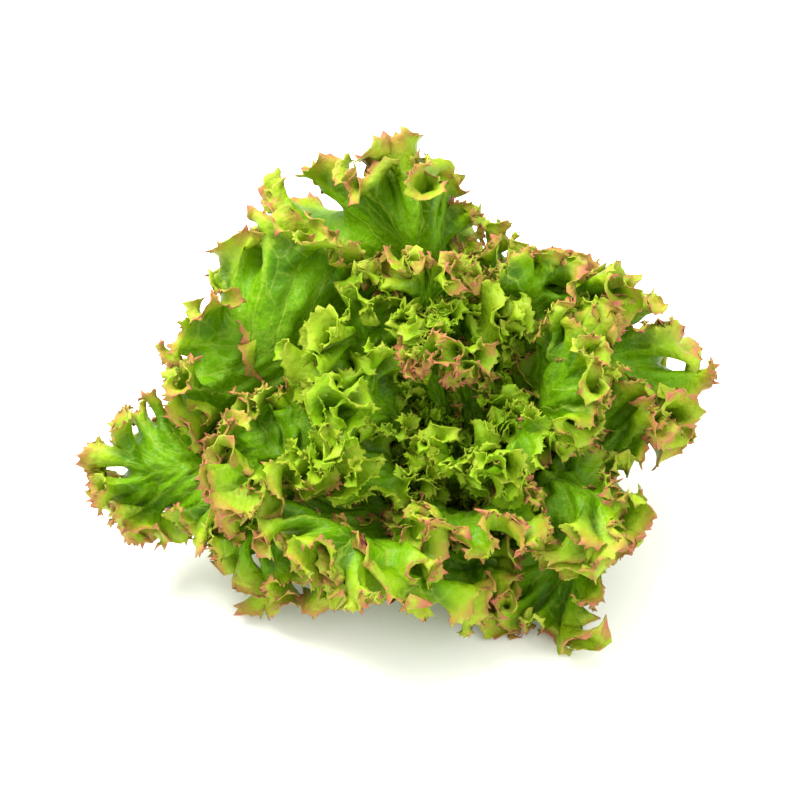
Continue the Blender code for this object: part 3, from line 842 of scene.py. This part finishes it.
class Finish:
    """A material's nodes, from its patterns to its shader."""

    def __init__(self, name):
        self.material = bpy.data.materials.new(name)
        self.material.use_nodes = True
        self.tree = self.material.node_tree
        self.tree.nodes.clear()
        self.output = self.node("ShaderNodeOutputMaterial")
        self.shader = self.node("ShaderNodeBsdfPrincipled")
        self.link(self.shader.outputs[0], self.output.inputs[0])
        self.place = self.node("ShaderNodeTexCoord").outputs["Object"]

    def node(self, kind, settings=None, inputs=None):
        """Adds a node, sets its settings and then its sockets, to values or by links."""
        made = self.tree.nodes.new(kind)
        for name, value in (settings or {}).items():
            setattr(made, name, value)
        for key, value in (inputs or {}).items():
            self.feed(made.inputs[key], value)
        return made

    def feed(self, socket, value):
        """Links a value or a socket to the socket, or sets it to a number or a colour."""
        if isinstance(value, Value):
            value = value.socket
        if isinstance(value, bpy.types.NodeSocket):
            self.link(value, socket)
        elif socket.type == "RGBA" and len(value) == 3:
            socket.default_value = (*value, 1.0)
        else:
            socket.default_value = value

    def link(self, start, end):
        self.tree.links.new(start, end)

    def math(self, operation, *values):
        """The value of a Math node on one or two numbers."""
        node = self.node("ShaderNodeMath", {"operation": operation}, dict(enumerate(values)))
        return Value(self, node.outputs[0])

    def read(self, name):
        """A point attribute of the piece."""
        return Value(self, self.node("ShaderNodeAttribute", {"attribute_name": name}).outputs["Fac"])

    def noise(self, scale, detail=2.0, roughness=0.5):
        """Cloudy noise on object coordinates, around a half."""
        inputs = {"Vector": self.place, "Scale": scale, "Detail": detail, "Roughness": roughness}
        return Value(self, self.node("ShaderNodeTexNoise", None, inputs).outputs["Fac"])

    def cells(self, scale, place):
        """Distance to the nearest edge between random cells, at a place of its own."""
        settings, inputs = {"feature": "DISTANCE_TO_EDGE"}, {"Vector": place, "Scale": scale}
        return Value(self, self.node("ShaderNodeTexVoronoi", settings, inputs).outputs["Distance"])

    def mix(self, colour, other, share):
        """One colour turning into another, where share goes from 0 to 1."""
        made = self.node("ShaderNodeMix", {"data_type": "RGBA"})
        self.feed(made.inputs[0], share)
        self.feed(made.inputs[6], colour)
        self.feed(made.inputs[7], other)
        return made.outputs[2]

    def vector(self, x, y, z):
        return self.node("ShaderNodeCombineXYZ", None, {"X": x, "Y": y, "Z": z}).outputs[0]

    def bump(self, height, distance, strength):
        inputs = {"Height": height, "Distance": distance, "Strength": strength}
        return self.node("ShaderNodeBump", None, inputs).outputs[0]

    def coat(self, **sockets):
        """Sets the shader's sockets: underscores in the names stand for spaces."""
        for name, value in sockets.items():
            self.feed(self.shader.inputs[name.replace("_", " ").title().replace("Ior", "IOR")], value)


def leaf_finish(name, colours, pale, fresh):
    """Leaf tissue: green blade, yellow-green frill, reddish teeth, pale rib and veins, waxy gloss, and
    painted shade in the hollows.

    Distances that it reads from the leaf are in millimetres. Pale lightens the frill, and fresh turns it
    from yellow-green to the green of a young leaf.
    """
    finish = Finish(name)
    edge, rib, vein = finish.read("edge"), finish.read("rib"), finish.read("vein")
    along, crest, height = finish.read("along"), finish.read("crest"), finish.read("height")
    tone, under, tooth = finish.read("tone"), finish.read("under"), finish.read("tooth")
    redness = finish.read("redness")
    patches = finish.noise(PATCH_SCALE, 3.0)
    mottle = finish.noise(MOTTLE_SCALE, 4.0, roughness=0.6)

    frill = (edge + 10 * (patches - 0.5)).fade(17.0, 1.5)
    blade = finish.mix(colours.blade, finish.mix(colours.frill, colours.fresh, fresh), frill)
    # Painted shade: dark green where the folds push the blade inwards, away from the margin.
    blade = finish.mix(blade, colours.shade_and_mottle, (crest.fade(0.3, -0.6) * edge.fade(1.0, 9.0)) * 0.7)
    blade = finish.mix(blade, colours.light, height.fade(0.5, 0.0) * 0.3 + pale * edge.fade(9.0, 0.0))
    # The same dark green in random patches: the leaf's own mottling.
    blade = finish.mix(blade, colours.shade_and_mottle, (mottle - 0.35).fade(0.0, 0.45) * 0.25)
    blade = finish.mix(blade, colours.light, tone * 0.3 * frill)

    distort = 5.0 * (finish.noise(DISTORT_SCALE, 2.0) - 0.5)
    wave = finish.math("COSINE", (vein + distort) * (2 * math.pi / (VEIN_SPACING / MM)))
    main = wave.fade(0.94, 1.0)
    web_place = finish.vector(vein * 0.5, rib * 0.42, along * 0.1)
    web = finish.cells(WEB_SCALE, web_place)
    veins = (main * 0.7 + web.fade(0.1, 0.0) * 0.45) * edge.fade(1.0, 6.0)
    rib_line = (rib / (2.6 - 2.1 * height)).fade(1.0, 0.15)
    blade = finish.mix(blade, colours.vein, veins * 0.55)
    blade = finish.mix(blade, colours.rib, rib_line * height.fade(0.75, 0.0) * 0.7)
    blade = finish.mix(blade, colours.light, under * 0.3)

    cream = (edge + 5.0 * (mottle - 0.5)).fade(7.0, 1.0) * (patches + mottle).fade(0.85, 1.15)
    blade = finish.mix(blade, colours.cream, cream * (0.5 * (1 - fresh)))
    flush = finish.noise(FLUSH_SCALE, 3.0, roughness=0.6).fade(0.42, 0.56)
    ragged = edge + 3.4 * (patches - 0.5) + 1.6 * (mottle - 0.5)
    brown = ragged.fade(7.0, 0.8) * flush * redness * 0.8
    blade = finish.mix(blade, colours.brown, brown)
    tips = (tooth + 0.8 * (mottle - 0.5)).fade(0.10, 0.8)
    rim = (edge + 2.4 * (mottle - 0.5)).fade(2.4, 0.0)
    tips = (tips + rim * 0.5) * (0.2 + 0.8 * flush) * redness
    blade = finish.mix(blade, colours.tip, tips)

    pillows = finish.noise(PILLOW_SCALE, 2.0)
    relief = main * -0.35 + mottle * 1.1 + pillows * 2.2
    bump = finish.bump(relief, 0.5 * MM, 0.9)
    finish.coat(base_color=blade, roughness=0.26 + 0.22 * mottle + 0.06 * under, normal=bump)
    finish.shader.inputs["Specular IOR Level"].default_value = LEAF_GLOSS
    glow = finish.node("ShaderNodeBsdfTranslucent", None, {"Color": colours.glow, "Normal": bump})
    shaders = {0: GLOW_SHARE, 1: finish.shader.outputs[0], 2: glow.outputs[0]}
    mixed = finish.node("ShaderNodeMixShader", None, shaders)
    finish.link(mixed.outputs[0], finish.output.inputs[0])
    return finish.material


def stem_finish(name, colours):
    """Cut stem: pale flesh with rings, browned where it was cut and at its skin."""
    finish = Finish(name)
    split = finish.node("ShaderNodeSeparateXYZ", None, {"Vector": finish.place})
    x, y, z = (Value(finish, split.outputs[axis]) for axis in range(3))
    radius = (x * x + y * y) ** 0.5 / MM
    grain = finish.noise(300.0, 3.0)
    patches = finish.noise(90.0, 3.0)
    ring = finish.math("SINE", radius * 1.1 + 3 * patches)
    flesh = finish.mix(colours.stem, colours.light, ring.fade(0.2, 0.9) * 0.4)
    flesh = finish.mix(flesh, colours.stem_brown, (patches.fade(0.45, 0.75) * z.fade(5 * MM, 0.0)) * 0.7)
    flesh = finish.mix(flesh, colours.stem_brown, radius.fade(13.5, 16.0) * z.fade(4 * MM, 0.5 * MM) * 0.5)
    bump = finish.bump(grain + ring * 0.3, 0.4 * MM, 0.7)
    finish.coat(base_color=flesh, roughness=0.45 + 0.25 * grain, normal=bump)
    return finish.material


def floor_finish(colour):
    finish = Finish("pale_floor")
    finish.coat(base_color=tuple(colour), roughness=0.65)
    return finish.material


# Settings


def colour_property(name, description, colour):
    return FloatVectorProperty(
        name=name, description=description, default=colour, subtype="COLOR", size=3, min=0.0, max=1.0
    )


class LETTUCE_PG_shape(bpy.types.PropertyGroup):
    """Sizes of the leaves that their fine mesh adds to the part's solids."""

    blade_thickness: FloatProperty(
        name="Blade thickness", description="Thickness of a leaf away from its rib", default=0.42 * MM,
        min=0.1 * MM, max=2 * MM, precision=5, unit="LENGTH",
    )
    rib_height: FloatProperty(
        name="Rib height", description="How far the midrib stands out under the root of a leaf",
        default=2.0 * MM, min=0.0, max=6 * MM, precision=5, unit="LENGTH",
    )
    tooth_length: FloatProperty(
        name="Tooth length", description="Length of the teeth on the largest frills",
        default=TOOTH_LENGTH, min=0.0, max=8 * MM, precision=5, unit="LENGTH",
    )


class LETTUCE_PG_colours(bpy.types.PropertyGroup):
    """Colours of leaf tissue and of the stem."""

    blade: colour_property("Blade", "Green of a blade away from its margin", (0.16, 0.38, 0.002))
    frill: colour_property("Frill", "Yellow-green of the frilled margin", (0.33, 0.50, 0.008))
    fresh: colour_property("Fresh", "Green of the frills of young leaves", (0.21, 0.48, 0.003))
    # Painted shade: this dark green stands in for shade in the hollows of the folds, and also gives the
    # darker random mottling.
    shade_and_mottle: colour_property("Deep", "Dark green in the hollows", (0.015, 0.07, 0.0))
    light: colour_property("Light", "Pale green near the root and on the young frills", (0.38, 0.55, 0.015))
    cream: colour_property("Cream", "Palest patches of the frills", (0.54, 0.64, 0.09))
    vein: colour_property("Veins", "Colour of the side veins", (0.36, 0.50, 0.05))
    rib: colour_property("Rib", "Colour of the midrib", (0.50, 0.60, 0.25))
    tip: colour_property("Tips", "Reddish colour of the teeth", (0.52, 0.17, 0.10))
    brown: colour_property("Brown", "Brownish flush behind the teeth", (0.44, 0.28, 0.04))
    glow: colour_property("Glow", "Light that comes through a leaf", (0.35, 0.52, 0.003))
    stem: colour_property("Stem", "Flesh of the cut stem", (0.56, 0.60, 0.34))
    stem_brown: colour_property("Stem brown", "Where the cut has browned", (0.28, 0.17, 0.07))


class LETTUCE_PG_stage(bpy.types.PropertyGroup):
    """Floor, light and camera."""

    floor: colour_property("Floor", "Colour of the surface under the head", (0.93, 0.93, 0.92))
    key_power: FloatProperty(
        name="Key light", description="Power of the large light at the upper left",
        default=46.0, min=0.0, unit="POWER",
    )
    sky: FloatProperty(
        name="Ambient light", description="Strength of the even light from all round", default=1.44, min=0.0
    )


# Operators


def kind_of(leaf):
    if leaf.layer > OUTER_LAYER:
        return "outer_leaf"
    return "middle_leaf" if leaf.layer > MIDDLE_LAYER else "inner_leaf"


def add_leaves(scene, kind):
    """Builds every leaf of one kind from the table, with that kind's finish. A folded one is the reddest."""
    redness, pale, fresh = KINDS[kind]
    material = leaf_finish(kind, scene.lettuce_colours, pale, fresh)
    others = LEAVES + young_leaves()
    for number, leaf in enumerate(LEAVES):
        if kind_of(leaf) != kind:
            continue
        surface = leaf_surface(leaf, others, number, scene.lettuce_shape)
        verts, triangles, values = blade_shell(surface, scene.lettuce_shape, leaf.frill)
        values["tone"] = np.full(len(verts), np.random.default_rng(number).random())
        values["redness"] = np.full(len(verts), FOLDED_REDNESS if leaf.bend else redness)
        made = mesh_object(leaf.name + "_blade", verts, triangles, values, material)
        attach(made, leaf.name)


class LETTUCE_OT_stem(bpy.types.Operator):
    """Turns the cut stem, with slight ridges round it"""

    bl_idname = "lettuce.stem"
    bl_label = "Cut Stem"
    bl_options = {"REGISTER", "UNDO"}

    def execute(self, context):
        cut, top = STEM_CUT_RADIUS, STEM_TOP_RADIUS
        outline = [(0.0, 0.0), (0.35 * cut, 0.0), (0.7 * cut, 0.0)]
        outline += [(cut + step, height) for step, height in STEM_FOOT]
        share = np.linspace(0, 1, 12)
        radius = cut + (top - cut) * share - STEM_WAIST * np.sin(np.pi * share)
        outline += list(zip(radius, ROOT_HEIGHT[1] + (STEM_HEIGHT - ROOT_HEIGHT[1]) * share))
        outline += [(0.0, STEM_HEIGHT)]
        verts, triangles = lathe(outline, 96, STEM_RIDGES)
        verts[:, :2] *= STEM_FIT
        material = stem_finish("cut_stem", context.scene.lettuce_colours)
        attach(mesh_object("stem_flesh", verts, triangles, {}, material), "stem")
        return {"FINISHED"}


class LETTUCE_OT_outer_leaves(bpy.types.Operator):
    """Builds the outer leaves, which arch over and have the reddest frills"""

    bl_idname = "lettuce.outer_leaves"
    bl_label = "Outer Leaves"
    bl_options = {"REGISTER", "UNDO"}

    def execute(self, context):
        add_leaves(context.scene, "outer_leaf")
        return {"FINISHED"}


class LETTUCE_OT_middle_leaves(bpy.types.Operator):
    """Builds the middle leaves"""

    bl_idname = "lettuce.middle_leaves"
    bl_label = "Middle Leaves"
    bl_options = {"REGISTER", "UNDO"}

    def execute(self, context):
        add_leaves(context.scene, "middle_leaf")
        return {"FINISHED"}


class LETTUCE_OT_inner_leaves(bpy.types.Operator):
    """Builds the inner leaves, greener and finer frilled"""

    bl_idname = "lettuce.inner_leaves"
    bl_label = "Inner Leaves"
    bl_options = {"REGISTER", "UNDO"}

    def execute(self, context):
        add_leaves(context.scene, "inner_leaf")
        return {"FINISHED"}


class LETTUCE_OT_heart(bpy.types.Operator):
    """Builds the young leaves of the heart as one piece, with the growing tip under them"""

    bl_idname = "lettuce.heart"
    bl_label = "Heart"
    bl_options = {"REGISTER", "UNDO"}

    def execute(self, context):
        shape = context.scene.lettuce_shape
        redness, pale, fresh = KINDS["heart_leaf"]
        others = LEAVES + young_leaves()
        parts = []
        for number, leaf in enumerate(young_leaves()):
            surface = leaf_surface(leaf, others, HEART_SEED + number, shape, HEART_LIFT)
            part = blade_shell(surface, shape, 0.5)
            part[2]["tone"] = np.full(len(part[0]), number / HEART_LEAVES)
            part[2]["redness"] = np.full(len(part[0]), redness)
            parts.append(part)
        verts, triangles = lathe(np.array(TIP_OUTLINE) * MM, 48, TIP_RIDGES)
        blank = dict.fromkeys(parts[0][2], np.zeros(len(verts)))
        blank["edge"] = np.full(len(verts), 20.0)
        parts.append((verts, triangles, blank))
        material = leaf_finish("heart_leaf", context.scene.lettuce_colours, pale, fresh)
        attach(mesh_object("heart_leaves", *joined(parts), material), "heart")
        return {"FINISHED"}


def area_light(name, place, target, size, power, colour):
    """A square lamp at place that faces the target."""
    lamp = bpy.data.lights.new(name, "AREA")
    lamp.shape = "SQUARE"
    lamp.size = size
    lamp.energy = power
    lamp.color = colour
    made = bpy.data.objects.new(name, lamp)
    made.location = place
    made.rotation_euler = (Vector(target) - Vector(place)).to_track_quat("-Z", "Y").to_euler()
    bpy.context.scene.collection.objects.link(made)
    return made


class LETTUCE_OT_stage(bpy.types.Operator):
    """Lays the pale floor, sets soft light from the upper left and puts the camera at the photo's angle"""

    bl_idname = "lettuce.stage"
    bl_label = "Stage"
    bl_options = {"REGISTER", "UNDO"}

    def execute(self, context):
        scene, stage = context.scene, context.scene.lettuce_stage
        half = FLOOR_HALF
        floor = bpy.data.meshes.new("floor")
        floor.from_pydata(
            [(-half, -half, 0), (half, -half, 0), (half, half, 0), (-half, half, 0)], [], [(0, 1, 2, 3)]
        )
        floor.materials.append(floor_finish(stage.floor))
        floor = bpy.data.objects.new("floor", floor)
        scene.collection.objects.link(floor)

        target = Vector(CAMERA_TARGET)
        area_light("key", KEY_PLACE, target, KEY_SIZE, stage.key_power, KEY_COLOUR)
        area_light("fill", FILL_PLACE, target, FILL_SIZE, stage.key_power * FILL_SHARE, FILL_COLOUR)
        world = bpy.data.worlds.new("ambient")
        world.use_nodes = True
        background = world.node_tree.nodes["Background"]
        background.inputs["Color"].default_value = SKY_COLOUR
        background.inputs["Strength"].default_value = stage.sky
        scene.world = world
        scene.view_settings.view_transform = "Standard"

        lens = bpy.data.cameras.new("camera")
        lens.lens = CAMERA_LENS
        lens.sensor_width = 36
        camera = bpy.data.objects.new("camera", lens)
        towards = Vector((0, -math.cos(VIEW_ANGLE), math.sin(VIEW_ANGLE)))
        camera.location = target + CAMERA_DISTANCE * towards
        camera.rotation_euler = (target - camera.location).to_track_quat("-Z", "Y").to_euler()
        scene.collection.objects.link(camera)
        scene.camera = camera
        return {"FINISHED"}


STEPS = (
    LETTUCE_OT_stem,
    LETTUCE_OT_outer_leaves,
    LETTUCE_OT_middle_leaves,
    LETTUCE_OT_inner_leaves,
    LETTUCE_OT_heart,
    LETTUCE_OT_stage,
)


class LETTUCE_PT_panel(bpy.types.Panel):
    """Lists the settings and the steps in the 3D view's sidebar."""

    bl_label = "Coral Lettuce"
    bl_space_type = "VIEW_3D"
    bl_region_type = "UI"
    bl_category = "Lettuce"

    def draw(self, context):
        for group in SETTINGS:
            settings = getattr(context.scene, group)
            box = self.layout.box()
            for name in settings.bl_rna.properties.keys():
                if name not in {"rna_type", "name"}:
                    box.prop(settings, name)
        for step in STEPS:
            self.layout.operator(step.bl_idname)


SETTINGS = {
    "lettuce_shape": LETTUCE_PG_shape,
    "lettuce_colours": LETTUCE_PG_colours,
    "lettuce_stage": LETTUCE_PG_stage,
}


def register():
    for group in (*SETTINGS.values(), *STEPS, LETTUCE_PT_panel):
        bpy.utils.register_class(group)
    for name, group in SETTINGS.items():
        setattr(bpy.types.Scene, name, PointerProperty(type=group))


def unregister():
    for name in SETTINGS:
        delattr(bpy.types.Scene, name)
    for group in (LETTUCE_PT_panel, *reversed(STEPS), *SETTINGS.values()):
        bpy.utils.unregister_class(group)


def corners(bounds):
    """A box's lowest and highest corners as plain lists."""
    return [[float(x) for x in corner] for corner in bounds]


def main():
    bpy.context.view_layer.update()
    register()
    for step in STEPS:
        group, name = step.bl_idname.split(".")
        getattr(getattr(bpy.ops, group), name)()
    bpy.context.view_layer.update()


if __name__ == "__main__":
    main()
